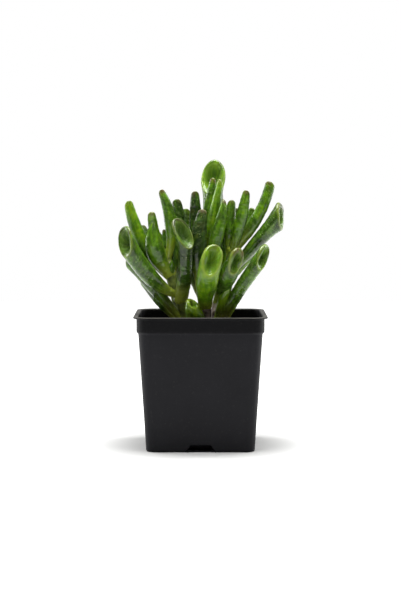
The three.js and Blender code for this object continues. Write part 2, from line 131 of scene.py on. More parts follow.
# Stems: x, y, z and radius of points along the middle line, and the corked share where it is not CORKED.
# Leaves: height of the root on the stem, tip, bow (to the right, back and up), width, length and width of
# the mouth, the way it faces (0 = front, 90 = right), lip radius, shade (0 = young and bright, 1 = old and
# dark), blush of the tip, and the root's share of the width where it is not LEAF's.
SHOOTS = {"left_shoot": [{
    "stem": [
        (-9.6, -4, 62, 3.7), (-11, -4, 88, 3.5), (-13.2, -4, 100, 3.6),
        (-18.6, -4, 111, 3.7), (-21, -4, 121, 3.4),
    ],
    "cork": 0.25,
    "leaves": [
        (103, (-54.2, -21, 148), (-0.5, -2.5, -7.8), 12.6, 14, 15, -46, 1.3, 0.62, 0.1, 0.4),
        (101, (-14, -18, 156.6), (3.6, -6, 0), 10.4, 22, 13.2, 36, 1.1, 0.82, 0.2, 1.0),
        (84.5, (-50.4, -8, 132), (0.5, 0, -1.7), 9.2, 9, 12.4, -120, 1.0, 0.6, 0.0, 0.5),
        (114, (-18, 0, 141), (1, 1, 0), 7, 4, 4, 180, 0.7, 0.7, 0.6),
        (117.5, (-32.6, -11, 152.8), (-4, -3, -1.8), 12.8, 4, 4, 180, 0.8, 0.5, 0.1),
        (114, (-49.5, -6, 167.4), (-3.4, 0, -4), 9.6, 6, 6.4, 200, 0.8, 0.32, 0.4, 0.5),
        (116, (-19.4, -9.5, 127.5), (0, -0.5, 0), 4.4, 1.6, 1.8, 180, 0.5, 0.4, 0),
        (105, (-14.6, -9, 119.5), (0.4, -0.6, 0), 4.4, 1.6, 1.8, 180, 0.5, 0.4, 0),
    ],
}, {
    "stem": [(-20, -4, 119, 3.0), (-22.5, -3, 127, 2.8), (-24, -2, 134, 2.6)],
    "leaves": [
        (128, (-27.2, -4, 175), (4.8, 0, 0), 8.6, 5, 5, 200, 0.7, 0.4, 0.8),
        (124, (-33.2, -10, 159.6), (-2.5, 0, 0), 7, 3.4, 5.6, 180, 1.4, 0.35, 0.6),
        (124, (-40.8, 8, 150.2), (-2, 2, 0), 8.5, 6, 6, 200, 0.8, 0.7, 0.3),
        (126, (-29.5, 6, 146.5), (0, 2, 0), 7, 5, 4, 180, 0.6, 0.7, 0.4),
        (127, (-24.7, 2, 148), (0, 1, 0), 5, 4, 3.5, 150, 0.6, 0.45, 0.7),
        (128, (-16.8, 8, 168.5), (4, 3, 0), 8.8, 7, 7, 180, 0.9, 0.8, 0.3),
        (127, (-10, 16, 161.6), (3, 3, 0), 8.2, 5, 6, 180, 0.8, 0.65, 0.4),
    ],
}], "centre_shoot": [{
    "stem": [
        (3.6, -10, 62, 3.4), (3.9, -11, 88, 3.0), (2.6, -8, 100, 3.4),
        (1, -3, 114, 3.0), (2, 0, 128, 2.6),
    ],
    "cork": 0.6,
    "leaves": [
        # the front leaf and the low leaf under it have a low shade value, partly as painted light on leaves
        # that sit low in shade
        (96.5, (10.2, -30, 137.2), (-1.8, -6, 0), 15.4, 21, 14.2, 5, 2.2, 0.28, 0.35, 0.64),
        (84, (-5.4, -22, 101), (-2.6, -2, -2.5), 12.6, 5, 9.4, 50, 1.1, 0.05, 0.3),
        (104, (1.5, -8, 161), (-3.4, -3, 0), 11.6, 3, 6.6, 180, 1.4, 0.95, 0.6),
        (98, (-10, 4, 146), (-1.5, 2, 0), 10.5, 6, 6, 180, 0.9, 0.9, 0.2),
        (114, (-3.8, 8, 174), (-1, 3, 0), 9.2, 6, 6, 180, 0.9, 0.85, 0.6),
        (124, (9, 8, 183), (-0.5, 2, 0), 8.5, 6, 5, 160, 0.8, 0.5, 0.9),
        (124, (14, 1, 182), (0, -1, 0), 8.5, 6, 5, 120, 0.8, 0.25, 0.5),
        (120, (9, 19, 195), (2.2, 5, 0), 12, 26, 17.2, -8, 1.5, 0.3, 0.2),
        (114, (16.8, -7, 168.6), (1.5, -3, 0), 10, 5, 4.5, 60, 0.7, 0.4, 1.0),
    ],
}], "right_shoot": [{
    "stem": [
        (9, -6, 62, 3.4), (10, -6, 88, 3.0), (12.4, -3, 101, 3.4),
        (18, 0, 118, 3.0), (20.5, 0, 132, 2.6), (21, 0, 140, 2.4),
    ],
    "leaves": [
        (99, (26.8, -26, 134), (-1.4, -4, 0), 13, 17, 11, 28, 1.8, 0.6, 0.8, 0.58),
        # this leaf's low shade value is partly painted light on a leaf that sits low in shade
        (84, (21.6, -14, 120), (0, -2, 0), 8.4, 6, 6, 100, 0.9, 0.05, 0.0, 0.5),
        (115, (57.9, 0, 161.7), (-0.4, 0, -0.6), 10.6, 12, 17, 75, 1.7, 0.6, 0.3, 0.48),
        (134, (47.9, 2, 180.3), (4.4, 0, -0.8), 8.2, 5, 7, 160, 1.0, 0.45, 0.7, 0.95),
        (126, (31.4, -5, 174.6), (1, -1, 0), 8.3, 5, 5.4, 170, 0.8, 0.5, 0.7),
        (128, (36.3, 13, 162.2), (0, 3, 0), 6.5, 5, 5, 160, 0.8, 0.6, 0.4),
        (130, (21.6, 3, 167.8), (-1.2, 0, 0), 8.5, 6, 6, 180, 0.8, 0.55, 0.6),
        (134, (25.3, 14, 162.4), (0, 3, 0), 5, 4, 4, 180, 0.6, 0.7, 0.5),
    ],
}, {
    "stem": [(9.6, -6, 82, 2.6), (12.5, -6.8, 84.5, 3.0), (15, -7.6, 88, 3.4)],
    "leaves": [
        (86.5, (46.4, -14, 136), (-1.4, -3.5, 0), 10, 15.5, 11, 48, 1.5, 0.48, 0.2, 0.95),
    ],
}], "back_left_shoot": [{
    "stem": [(-14, 14, 62, 3.4), (-15, 15, 88, 3.0), (-17, 17, 102, 3.8), (-18, 20, 118, 3.0)],
    "leaves": [
        (102, (-46, 26, 129), (-0.5, 3, -2.6), 9, 12, 12, 235, 1.1, 0.55, 0.4),
        (112, (-34, 34, 146), (-1, 4, 0), 9, 8, 8, 215, 0.9, 0.35, 0.5),
        (112, (-19, 42, 157), (-1, 6, 0), 9.5, 14, 12, 190, 1.1, 0.5, 0.3),
        (114, (-15, 24, 164), (1, 1, 0), 8, 5, 5, 200, 0.8, 0.25, 0.8),
        (84, (-42, 20, 118), (-1, 1, -2.4), 7.5, 8, 9, 250, 0.9, 0.7, 0.2),
        (106, (-22, 13, 141), (0, 1, 0), 8, 6, 6, 20, 0.8, 0.6, 0.5),
        (100, (-15, 3, 124), (0, -1, 0), 8, 7, 7, 330, 0.8, 0.65, 0.2, 0.45),
        (100, (-7.5, 40, 140), (2, 5, 0), 10, 15, 13, 175, 1.2, 0.6, 0.3),
    ],
}], "back_right_shoot": [{
    "stem": [(12, 16, 62, 3.4), (13, 17, 88, 3.0), (15, 19, 104, 3.8), (17, 21, 124, 3.0)],
    "leaves": [
        (90, (42, 28, 127), (0.4, 3, -3), 7.6, 10, 10, 125, 1.0, 0.65, 0.3),
        (106, (50, 20, 153), (1, 2, 0), 8, 8, 8, 110, 0.9, 0.4, 0.5),
        (116, (26, 40, 159), (1, 4, 0), 9.5, 14, 12, 165, 1.1, 0.5, 0.4),
        (120, (9, 36, 178), (-1, 3, 0), 9.5, 18, 13, 190, 1.1, 0.45, 0.3),
        (108, (2, 44, 151), (-3, 5, 0), 9.5, 12, 11, 195, 1.1, 0.7, 0.3),
        (120, (35, 27, 154), (0, 1, 0), 7.5, 5, 5, 140, 0.8, 0.3, 0.7),
        (112, (17, 13, 155), (1, 0, 0), 7.5, 5, 5, 30, 0.8, 0.4, 0.7),
        (96, (19, 43, 129), (0, 5, 0), 10, 14, 12, 160, 1.1, 0.75, 0.2),
    ],
}]}


# ---- small maths


def linear(code):
    """sRGB hex to linear RGB: c / 12.92 up to 0.04045, else ((c + 0.055) / 1.055) to the power 2.4."""
    c = np.array([int(code[i : i + 2], 16) for i in (1, 3, 5)]) / 255
    return tuple(float(v) for v in np.where(c <= 0.04045, c / 12.92, ((c + 0.055) / 1.055) ** 2.4))


def rgba(colour):
    """A linear colour or an sRGB hex value as linear RGB with full alpha, for a node's socket."""
    return (*(linear(colour) if isinstance(colour, str) else tuple(colour)[:3]), 1.0)


def unit(v):
    """A vector over its own length, along the last axis."""
    return v / np.linalg.norm(v, axis=-1, keepdims=True)


def ease(x):
    """Smooth step from 0 to 1: x squared times (3 - 2x), with x held between 0 and 1."""
    x = np.clip(x, 0, 1)
    return x * x * (3 - 2 * x)


def round_axis(radius, th, height):
    """Points x, y, z at this radius and angle round the Z axis and at this height."""
    return np.stack(np.broadcast_arrays(radius * np.cos(th), radius * np.sin(th), height), -1)


def random_waves(rng, where, sizes, count):
    """A smooth random field over the points where: the mean of count plane waves with seeded
    directions and phases, whose wavelengths run through sizes, the long ones the strongest."""
    lengths = np.geomspace(*sizes, count)
    ways = unit(rng.normal(size=(count, where.shape[-1])))
    phase = rng.uniform(0, 2 * np.pi, count)
    waves = np.sin(where @ (ways * (2 * np.pi / lengths)[:, None]).T + phase)
    return waves @ lengths / lengths.sum() * math.sqrt(count / 2)


# ---- surfaces


def closed_tube(rows, start, end, fields, slot=0):
    """A grid of closed rings between two poles. rows is rings x around x 3; quads join each ring to the
    next, and a fan of triangles closes each end on its pole. fields hold one value, or one a grid
    point, and a pole takes the mean of its ring."""
    rings, around, _ = rows.shape
    first = np.arange(rings - 1)[:, None] * around
    one, two = np.arange(around)[None, :], np.roll(np.arange(around), -1)[None, :]
    quads = np.stack([first + one, first + two, first + around + two, first + around + one], -1).reshape(-1, 4)
    low, high = rings * around, rings * around + 1
    one, two = one[0], two[0]
    last = (rings - 1) * around
    tris = np.concatenate([
        np.stack([two, one, np.full(around, low)], -1),
        np.stack([last + one, last + two, np.full(around, high)], -1),
    ])
    points = np.concatenate([rows.reshape(-1, 3), [start], [end]])
    values = {}
    for key, field in fields.items():
        field = np.broadcast_to(field, rows.shape[:2] + np.shape(field)[2:])
        flat = field.reshape((rings * around,) + field.shape[2:])
        values[key] = np.concatenate([flat, field[0].mean(0)[None], field[-1].mean(0)[None]])
    return {"points": points, "quads": quads, "tris": tris, "values": values, "slot": slot}


def put_mesh(name, parts, materials):
    """One smooth-shaded mesh object from parts in millimetres. A part whose signed volume, a sixth of
    the sum of a . (b x c) over its triangles, is negative has its faces turned to point out."""
    points, quads, tris, values, slots = [], [], [], {}, []
    shift = 0
    for part in parts:
        p, q, t = part["points"], part["quads"], part["tris"]
        all_tris = np.concatenate([q[:, [0, 1, 2]], q[:, [0, 2, 3]], t]) if len(q) else t
        a, b, c = (p[all_tris[:, i]] for i in range(3))
        if (a * np.cross(b, c)).sum() < 0:
            q, t = q[:, ::-1], t[:, ::-1]
        points.append(p)
        quads.append(q + shift)
        tris.append(t + shift)
        slots.append((len(q), len(t), part["slot"]))
        for key, value in part["values"].items():
            values.setdefault(key, []).append(value)
        shift += len(p)
    points = np.concatenate(points) * MM
    quads, tris = np.concatenate(quads), np.concatenate(tris)
    mesh = bpy.data.meshes.new(name)
    mesh.vertices.add(len(points))
    mesh.vertices.foreach_set("co", points.astype(np.float32).ravel())
    corners = np.concatenate([quads.ravel(), tris.ravel()]).astype(np.int32)
    mesh.loops.add(len(corners))
    mesh.loops.foreach_set("vertex_index", corners)
    starts = np.concatenate([np.arange(len(quads)) * 4, len(quads) * 4 + np.arange(len(tris)) * 3])
    mesh.polygons.add(len(starts))
    mesh.polygons.foreach_set("loop_start", starts.astype(np.int32))
    which = [np.full(n, s) for n, _, s in slots] + [np.full(n, s) for _, n, s in slots]
    mesh.polygons.foreach_set("material_index", np.concatenate(which).astype(np.int32))
    for key, value in values.items():
        value = np.concatenate(value).astype(np.float32)
        kind, field = ("FLOAT_VECTOR", "vector") if value.ndim > 1 else ("FLOAT", "value")
        mesh.attributes.new(key, kind, "POINT").data.foreach_set(field, value.ravel())
    for material in materials:
        mesh.materials.append(material)
    mesh.update(calc_edges=True)
    if mesh.validate():
        raise RuntimeError(name + " has faces that Blender had to mend")
    mesh.shade_smooth()
    piece = bpy.data.objects.new(name, mesh)
    bpy.context.scene.collection.objects.link(piece)
    return piece


def run_along(rows):
    """Distance in millimetres from the first ring to each ring, along each column of a grid."""
    steps = np.linalg.norm(np.diff(rows, axis=0), axis=2)
    return np.concatenate([np.zeros((1, rows.shape[1])), np.cumsum(steps, 0)])


def middle_line(points, count):
    """Uniform Catmull-Rom spline through rows of x, y, z and radius, with the ends mirrored."""
    p = np.asarray(points, float)
    q = np.vstack([2 * p[0] - p[1], p, 2 * p[-1] - p[-2]])
    t = np.linspace(0, len(p) - 1, count)
    k = np.minimum(t.astype(int), len(p) - 2)
    u = (t - k)[:, None]
    a, b, c, d = q[k], q[k + 1], q[k + 2], q[k + 3]
    return 0.5 * (2 * b + (c - a) * u + (2 * a - 5 * b + 4 * c - d) * u**2 + (3 * b - a - 3 * c + d) * u**3)


def leaf_part(row, root, rng, around, gap):
    """A leaf: an oval tube along a quadratic curve from root to tip, cut off at a slant by its mouth. At
    share s of the length and angle th round it, the centre is at t = s - cut (1 + cos th) / 2 s^2, so the
    side that faces front ends early. Half the width grows from the root's share to the body's and opens
    to the mouth's. A rounded lip turns over at the rim, and a bowl closes the mouth, its depth a smooth
    step. Rings are about gap millimetres apart, and seeded waves, drawn out round the leaf, crease the
    wall, more on old leaves."""
    _, tip, bow, wide, mouth_long, mouth_wide, facing, lip, shade, blush = row[:10]
    narrowed = row[10] if len(row) > 10 else LEAF["root"]
    tip = np.array(tip, float)
    root = np.array(root, float)
    bend = (root + tip) / 2 + 2 * np.array(bow, float)

    def centre(t):
        t = t[..., None]
        return (1 - t) ** 2 * root + 2 * t * (1 - t) * bend + t * t * tip

    def heading(t):
        t = t[..., None]
        return unit((1 - t) * (bend - root) + t * (tip - bend))

    length = np.linalg.norm(np.diff(centre(np.linspace(0, 1, 65)), axis=0), axis=1).sum()
    cut = min(mouth_long / length, LEAF["most_cut"])
    face = math.radians(facing)
    front = np.array([math.sin(face), -math.cos(face), 0.0])
    th = np.linspace(0, 2 * np.pi, around, endpoint=False)
    phase = rng.uniform(0, 2 * np.pi, 5)

    def wall(t, th, s):
        ahead = heading(t)
        u = unit(front - (ahead @ front)[..., None] * ahead)
        v = np.cross(ahead, u)
        body = narrowed + (1 - narrowed) * ease(t / LEAF["body_at"])
        opened = np.clip((s - LEAF["flare_from"]) / (1 - LEAF["flare_from"]), 0, 1) ** LEAF["flare_power"]
        half = wide / 2 * body * (1 - opened) + mouth_wide / 2 * opened
        uneven = sum(share * np.sin(n * th + k * s + p) for (share, n, k), p in zip(UNEVEN, phase))
        half = half * (1 + uneven * ease(s / LEAF["even_root"]))
        return (
            centre(t)
            + (LEAF["thick"] * half * np.cos(th))[..., None] * u
            + (half * np.sin(th))[..., None] * v
        )

    miss = cut * (1 + np.cos(th)) / 2
    rings = int(np.clip(length / gap, *RING_COUNT))
    s = 1 - (1 - np.linspace(0, 1, rings)) ** LEAF["ring_power"]
    s = np.broadcast_to(s[:, None], (rings, around))
    t = s - miss * s**2
    rows = wall(t, np.broadcast_to(th, s.shape), s)
    drawn = round_axis(CREASE["round"] * wide, th, length * s)
    crease = random_waves(rng, drawn, CREASE["sizes"], CREASE["waves"])
    crease *= ease(s / CREASE["root_fade"]) * ease((1 - s) * length / CREASE["tip_fade"])
    rows = rows + (CREASE["deep"] * min(1, 2 * shade) * crease)[..., None] * unit(rows - centre(t))

    # the lip turns over from the wall's own slope
    rim = rows[-1]
    e = 1e-3
    across = wall(t[-1], th + e, 1.0) - wall(t[-1], th - e, 1.0)
    up = wall(t[-1] + e, th, 1.0 + e) - wall(t[-1] - e, th, 1.0 - e)
    away = unit(np.cross(across, up))
    away *= np.sign((away * (rim - centre(t[-1]))).sum(-1, keepdims=True))
    middle = rim.mean(0)
    normal = unit(np.cross(rim - middle, np.roll(rim, -1, 0) - middle).sum(0))
    normal = normal if normal @ heading(np.array(1.0)) > 0 else -normal
    spoke = rim - middle
    spoke = unit(spoke - (spoke @ normal)[:, None] * normal)
    turn = math.radians(LEAF["lip_turn"])
    start = np.minimum(np.arctan2(away @ normal, (away * spoke).sum(-1)), turn - 0.2)
    swell = lip * (1 + sum(share * np.sin(n * th + phase[k]) for share, n, k in LIP_UNEVEN))
    hub = rim - swell[:, None] * (np.cos(start)[:, None] * spoke + np.sin(start)[:, None] * normal)
    arc = start + (turn - start) * np.linspace(0, 1, LIP_RINGS + 1)[1:, None]
    lips = hub + swell[:, None] * (np.cos(arc)[..., None] * spoke + np.sin(arc)[..., None] * normal)

    edge = lips[-1]
    depth = LEAF["bowl"] * mouth_wide
    floor = edge.mean(0)
    q = np.linspace(1, 0, BOWL_RINGS + 2)[1:-1][:, None, None]
    bowl = floor + (edge - floor) * q - normal * depth * ease((1 - q) / LEAF["bowl_at"])
    bottom = floor - normal * depth

    # the root end is rounded off behind the first ring
    heel = wide / 2 * narrowed
    way = heading(np.array(0.0))
    turned = np.radians(HEEL_TURNS)[:, None, None]
    heels = root + (rows[0] - root) * np.cos(turned) - way * LEAF["heel"] * heel * np.sin(turned)
    back_end = root - way * LEAF["heel"] * heel

    rows = np.concatenate([heels, rows, lips, bowl])
    run = run_along(rows)
    crest = len(heels) + rings + LIP_CREST
    from_crest = np.abs(run - run[crest])
    ring = np.arange(len(rows))[:, None]
    inside = np.zeros(rows.shape[:2])
    inside[-BOWL_RINGS:] = 1 - q[..., 0]
    t_all = np.concatenate([0 * heels[..., 0], t, np.broadcast_to(t[-1], (LIP_RINGS + BOWL_RINGS, around))])
    from_tip = (1 - t_all) * length
    is_open = mouth_long > OPEN_MOUTH
    brown = BROWN["open"] if is_open else BROWN["closed"] + mouth_long / 2
    skin = round_axis(wide / 2, th, run + SKIN_SHIFT * rng.uniform(1, 9))
    fields = {
        "skin": skin,
        "along": np.clip(run / run[crest], 0, 1),
        "rim": np.exp(-((from_crest / (RIM["wide"] + lip / 2)) ** 2)) * (ring > len(heels))
        * min(RIM["strength"] * lip, RIM["most"]),
        "cup": inside,
        "tip": ease(1 - from_tip / brown) * np.clip(1 - 4 * inside * is_open, 0, 1),
        "shade": shade,
        "blush": blush,
    }
    return closed_tube(rows, back_end, bottom, fields)


def stem_part(points, cork, rng, around, rings):
    """A stem: circles of the row's radius across its middle line, swollen at each leaf scar by a ridge
    that falls off as a bell curve. The share cork of the stem, from its foot, has corked over."""
    line = middle_line(points, rings)
    at, radius = line[:, :3], line[:, 3]
    ahead = unit(np.gradient(at, axis=0))
    u = unit(np.cross(ahead, np.array([0.0, 1.0, 0.01])))
    v = np.cross(ahead, u)
    th = np.linspace(0, 2 * np.pi, around, endpoint=False)
    run = run_along(at[:, None])
    skin = round_axis(STEM_SKIN, th, run)
    lean = run + SCAR["lean"] * np.sin(th + 2 * np.pi * rng.uniform())
    scar = np.abs((lean / SCAR["apart"]) % 1 - 0.5) * SCAR["apart"]
    ridge = np.exp(-((scar / SCAR["wide"]) ** 2))
    rough = random_waves(rng, skin, STEM_BARK["sizes"], STEM_BARK["waves"])
    reach = radius[:, None] + SCAR["high"] * ridge + STEM_BARK["deep"] * (rough - 1)
    spoke = np.cos(th)[:, None] * u[:, None] + np.sin(th)[:, None] * v[:, None]
    rows = at[:, None] + reach[..., None] * spoke
    fields = {
        "skin": skin, "along": run / run.max() / cork, "rim": ridge, "shade": 0.5 + 0.5 * rough,
        "cup": 0, "tip": 0, "blush": 0,
    }
    return closed_tube(rows, at[0], at[-1] + 0.5 * radius[-1] * ahead[-1], fields, slot=1)


def rounded_profile(corners, steps):
    """Replaces each corner of an open outline by an arc of its own radius, with a close neighbour on each
    side, so that smooth shading stays flat between arcs. Rows in are half width, height, plan corner
    radius and edge radius; rows out are the first three."""
    p = np.array(corners, float)
    out = []
    line = np.vstack([p[0, :2] - (5, 0), p[:, :2], p[-1, :2] - (5, 0)])  # each end comes from further in
    for i, (_, _, plan, edge) in enumerate(p):
        before, here, after = line[i : i + 3]
        one, two = unit(before - here), unit(after - here)
        half = math.acos(float(np.clip(one @ two, -1, 1))) / 2
        shortest = min(np.linalg.norm(before - here), np.linalg.norm(after - here))
        back = min(edge / math.tan(half), 0.45 * shortest)
        radius = back * math.tan(half)
        hub = here + unit(one + two) * radius / math.sin(half)
        a, b = here + one * back, here + two * back
        swing = np.linspace(0, 1, steps)[:, None]
        arc = hub + radius * unit((a - hub) * (1 - swing) + (b - hub) * swing)
        near = min(0.25, 0.5 * back)
        arc = np.concatenate([[a + one * near], arc, [b + two * near]])
        out.append(np.column_stack([arc, np.full(len(arc), plan)]))
    return np.concatenate(out)


def square_rings(half, corner, straight, bend, keep):
    """Rings of rounded squares. On a side, the middle part of the samples holds its own distance from
    the side's centre up to keep millimetres, and the rest share out what is left; a corner is a quarter
    circle. half and corner have one value a ring; the result is rings x around x 2."""
    half, corner = half[:, None], np.minimum(corner, 0.98 * half)[:, None]
    flat = half - corner
    held = np.minimum(keep, 0.6 * flat)
    q = np.abs(straight)[None, :]
    side = np.sign(straight) * np.where(q <= 1, held * q, held + (flat - held) * (q - 1))
    a = np.radians(bend)[None, :]
    along = np.concatenate([side, flat + corner * np.sin(a)], 1)
    out = np.concatenate([half + 0 * side, flat + corner * np.cos(a)], 1)
    x = np.concatenate([along, out, -along, -out], 1)
    y = np.concatenate([-out, along, out, -along], 1)
    return np.stack([x, y], -1), np.tile(along, (1, 4)), np.tile(out, (1, 4))


def notch_height(u, inward):
    """Height of the pot's underside over the floor: a trapezoid groove in the middle of each side, which
    ends after its depth, with a round drain hole in its ceiling."""
    slope = np.clip((NOTCH["half_base"] - np.abs(u)) / (NOTCH["half_base"] - NOTCH["half_top"]), 0, 1)
    end = 1 - ease((inward - NOTCH["deep"] + 0.4) / 0.8)
    hole = 1 - ease((np.hypot(u, inward - NOTCH["hole_in"]) - NOTCH["hole"] + 0.3) / 0.6)
    return NOTCH["high"] * slope * end + 1.3 * hole


def pot_part():
    """The pot as one closed shell: the rounded profile carried round a rounded square, with the
    underside lifted by the notches and the wall's lowest rings squeezed above them."""
    ring = rounded_profile(POT_PROFILE, 6)
    flats = []
    for i, (w, z, _) in enumerate(ring[:-1]):  # more rings on the long flats
        nxt = ring[i + 1]
        count = int(np.clip(np.hypot(nxt[0] - w, nxt[1] - z) / 3.0, 1, 26))
        flats.append(ring[i] + (nxt - ring[i]) * np.linspace(0, 1, count + 1)[:-1, None])
    wall = np.concatenate(flats + [ring[-1:]])
    base_out, _, base_corner, _ = POT_PROFILE[0]
    floor_out, _, floor_corner, _ = POT_PROFILE[-1]
    # the rings underneath are closest where the notches end
    under = np.concatenate([np.linspace(1, 23.6, 9), np.arange(24.0, 25.6, 0.2), np.arange(25.6, 35.2, 0.5)])
    under = np.column_stack([under, 0 * under, base_corner * under / base_out])
    inner = np.linspace(wall[-1, 0], 2, 8)[1:]
    inner = np.column_stack([inner, np.full(7, wall[-1, 1]), floor_corner * inner / floor_out])
    ring = np.concatenate([under, wall, inner])
    straight = np.concatenate([np.linspace(-2, -1, 9)[:-1], np.linspace(-1, 1, 47), np.linspace(1, 2, 9)[1:]])
    place, u, out = square_rings(ring[:, 0], ring[:, 2], straight, np.linspace(0, 90, 14)[1:-1], KEEP)
    z = np.broadcast_to(ring[:, 1:2], u.shape).copy()
    outside = np.arange(len(ring))[:, None] < len(under) + np.argmax(wall[:, 1] > NOTCH_RISE)
    is_flat = np.abs(np.abs(place).max(-1) - out) < 1e-6
    lift = notch_height(u, base_out - out) * (1 - np.clip(z / NOTCH_RISE, 0, 1)) * outside * is_flat
    lean = np.where(z > FOOT_TOP, POT_SLOPE * lift, 0)
    grow = 1 + lean / np.maximum(out, 1)
    rows = np.concatenate([place * grow[..., None], (z + lift)[..., None]], -1)
    fields = {"lip": ease((z - LIP_FROM) / 0.5), "collar": ease((z - COLLAR_FROM) / 0.4)}
    return closed_tube(rows, (0, 0, 0), (0, 0, ring[-1, 1]), fields)


def mix_part(rng):
    """The potting mix: a mound that falls with the square of the distance from the middle, plus seeded
    waves 14 to 2.2 mm long, and it dips a little at the wall."""
    out = np.concatenate([np.linspace(1, 37, 72), [37.6, 37.9]])
    place, _, _ = square_rings(
        out, 7.0 * out / MIX["half"], np.linspace(-2, 2, 57), np.linspace(0, 90, 16)[1:-1], KEEP)
    far = np.abs(place).max(-1)
    lumps = random_waves(rng, place, MIX["sizes"], MIX["waves"])
    z = MIX["level"] + MIX["mound"] * (1 - (far / MIX["half"]) ** 2) + MIX["lumps"] * lumps
    z -= MIX["dip"] * ease((far - MIX["dip_from"]) / MIX["dip_wide"])
    top = np.concatenate([place, z[..., None]], -1)
    edge = top[-1]
    down = np.stack([
        np.column_stack([edge[:, 0] * k, edge[:, 1] * k, np.full(len(edge), h)])
        for k, h in ((0.995, 70.0), (0.945, 30.0), (0.925, MIX["floor"]), (0.5, MIX["floor"]))
    ])
    rows = np.concatenate([top, down])
    grain = np.concatenate([0.5 + 0.35 * lumps, np.zeros(down.shape[:2])])
    return closed_tube(rows, (0, 0, float(z[0].mean())), (0, 0, MIX["floor"]), {"grain": grain})


def crumb_parts(rng, count):
    """Loose bark chips, peat crumbs and perlite beads on the mix, all in one array. Each is a 12-point ball
    with its points pushed in and out, stretched, turned and dropped at a seeded place."""
    g = (1 + math.sqrt(5)) / 2
    ball = unit(np.array([
        (-1, g, 0), (1, g, 0), (-1, -g, 0), (1, -g, 0), (0, -1, g), (0, 1, g),
        (0, -1, -g), (0, 1, -g), (g, 0, -1), (g, 0, 1), (-g, 0, -1), (-g, 0, 1),
    ]))
    faces = np.array([
        (0, 11, 5), (0, 5, 1), (0, 1, 7), (0, 7, 10), (0, 10, 11), (1, 5, 9), (5, 11, 4), (11, 10, 2),
        (10, 7, 6), (7, 1, 8), (3, 9, 4), (3, 4, 2), (3, 2, 6), (3, 6, 8), (3, 8, 9), (4, 9, 5),
        (2, 4, 11), (6, 2, 10), (8, 6, 7), (9, 8, 1),
    ])
    kind = rng.choice(CRUMB["grains"], count, p=CRUMB["shares"])
    size = np.where(kind == BEAD, rng.uniform(*CRUMB["bead"], count), rng.uniform(*CRUMB["chip"], count))
    stretch = np.stack([rng.uniform(*limits, count) for limits in CRUMB["stretch"]], -1)
    stretch = np.where(kind[:, None] == BEAD, 1.0, stretch)
    ragged = rng.uniform(*CRUMB["ragged"], (count, 12, 1))
    shape = ball[None] * ragged * stretch[:, None] * size[:, None, None]
    yaw, tilt = rng.uniform(0, 2 * np.pi, count), rng.uniform(-CRUMB["tilt"], CRUMB["tilt"], count)
    cy, sy, ct, st = np.cos(yaw), np.sin(yaw), np.cos(tilt), np.sin(tilt)
    turn = np.stack([cy, -sy * ct, sy * st, sy, cy * ct, -cy * st, 0 * yaw, st, ct], -1).reshape(-1, 3, 3)
    shape = np.einsum("nij,nkj->nki", turn, shape)
    place = rng.uniform(-CRUMB["reach"], CRUMB["reach"], (count, 2))
    mound = MIX["mound"] * (1 - (np.abs(place).max(1) / MIX["half"]) ** 2)
    height = MIX["level"] + mound + rng.uniform(*CRUMB["rise"], count)
    points = shape + np.column_stack([place, height])[:, None]
    tris = faces[None] + 12 * np.arange(count)[:, None, None]
    return {
        "points": points.reshape(-1, 3),
        "quads": np.zeros((0, 4), int),
        "tris": tris.reshape(-1, 3),
        "values": {"grain": np.repeat(kind, 12)},
        "slot": 0,
    }


# ---- materials


def feed(tree, made, fed):
    """Feeds a node's sockets: each entry of fed is an output to link there, or the socket's own value."""
    for key, value in fed.items():
        if isinstance(value, bpy.types.NodeSocket):
            tree.links.new(value, made.inputs[key])
        else:
            made.inputs[key].default_value = value


def add_node(tree, kind, fed=(), stops=(), out=0, **settings):
    """Adds a shader node of this kind with its settings, feeds it, and gives back its output out. stops
    are a colour ramp's places and colours."""
    made = tree.nodes.new("ShaderNode" + kind)
    for key, value in settings.items():
        setattr(made, key, value)
    feed(tree, made, dict(fed))
    for number, (place, colour) in enumerate(stops):
        ramp = made.color_ramp.elements
        element = ramp[number] if number < len(ramp) else ramp.new(1.0)
        element.position, element.color = place, rgba(colour)
    return made.outputs[out]


def new_material(name, **values):
    """A material with one Principled shader, whose constant values sit on its own sockets. Gives back the
    material, a function that adds a node to it, and one that feeds its shader."""
    material = bpy.data.materials.new(name)
    material.use_nodes = True
    tree = material.node_tree
    feed_shader = partial(feed, tree, tree.nodes["Principled BSDF"])
    feed_shader({key.replace("_", " "): value for key, value in values.items()})
    return material, partial(add_node, tree), feed_shader


